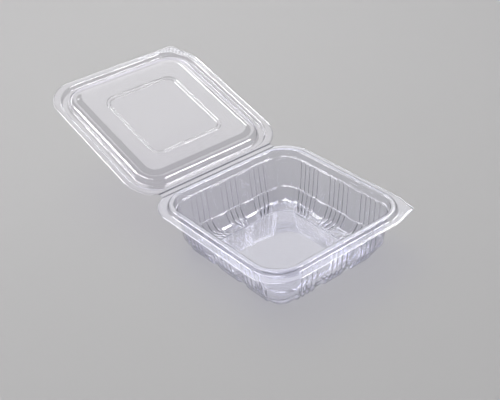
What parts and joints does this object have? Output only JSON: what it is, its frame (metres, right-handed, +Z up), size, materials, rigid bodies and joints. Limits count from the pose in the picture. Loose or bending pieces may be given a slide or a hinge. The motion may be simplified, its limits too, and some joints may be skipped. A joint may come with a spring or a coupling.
{
  "type": "plastic clamshell pack",
  "caption": "Square hinged clear-plastic food pack: a fluted, stepped tray and a plug-in lid laid open behind it on a living hinge, with a pull tab on each free corner.",
  "frame": {"origin": "on the table, under the middle of the open pack's bounding box", "axes": "+Z up; +X along the hinge, towards the side with the pull tabs; +Y from the tray to the open lid"},
  "size_m": [0.128, 0.264, 0.075],
  "materials": {
    "clear_sheet": "clear gloss"
  },
  "bodies": {
    "tray": {"tray": "clear_sheet"},
    "lid": {"lid": "clear_sheet"}
  },
  "joints": [
    {"name": "lid_hinge", "type": "hinge", "parent": "tray", "child": "lid", "pos_m": [0, 0.00298, 0.03515], "axis": [1, 0, 0], "range_deg": [-17.25, 162.75]}
  ]
}
